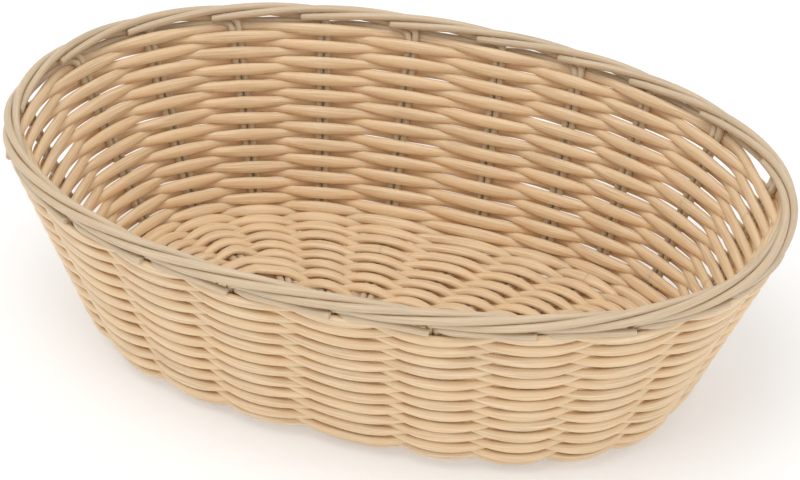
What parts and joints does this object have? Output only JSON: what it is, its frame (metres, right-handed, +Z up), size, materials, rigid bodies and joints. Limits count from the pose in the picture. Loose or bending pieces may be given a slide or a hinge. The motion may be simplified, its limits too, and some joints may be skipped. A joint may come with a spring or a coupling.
{
  "type": "oval bread basket",
  "caption": "Open oval basket with sloping sides, woven from round plastic cane over paired stakes, with a rolled border, for bread or rolls.",
  "frame": {"origin": "on the table, under the middle of the basket", "axes": "+Z up out of the open top, +X along the length of the oval, +Y along its width"},
  "size_m": [0.2299, 0.1499, 0.0671],
  "materials": {
    "stake_cane": "satin extruded plastic cane, greyed beige, with fine lines along its length",
    "weaver_cane": "satin extruded plastic cane, warm cream, with fine lines along its length"
  },
  "bodies": {
    "root": {"cross_stake_1a": "stake_cane", "cross_stake_1b": "stake_cane", "cross_stake_2a": "stake_cane", "cross_stake_2b": "stake_cane", "cross_stake_3a": "stake_cane", "cross_stake_3b": "stake_cane", "cross_stake_4a": "stake_cane", "cross_stake_4b": "stake_cane", "cross_stake_5a": "stake_cane", "cross_stake_5b": "stake_cane", "cross_stake_6a": "stake_cane", "cross_stake_6b": "stake_cane", "cross_stake_7a": "stake_cane", "cross_stake_7b": "stake_cane", "long_stake_1a": "stake_cane", "long_stake_1b": "stake_cane", "long_stake_2a": "stake_cane", "long_stake_2b": "stake_cane", "long_stake_3a": "stake_cane", "long_stake_3b": "stake_cane", "odd_stake_a": "stake_cane", "odd_stake_b": "stake_cane", "floor_weaver_1": "weaver_cane", "floor_weaver_2": "weaver_cane", "floor_weaver_3": "weaver_cane", "side_weaver_1": "weaver_cane", "side_weaver_2": "weaver_cane", "side_weaver_3": "weaver_cane", "side_weaver_4": "weaver_cane", "side_weaver_5": "weaver_cane"}
  },
  "joints": []
}
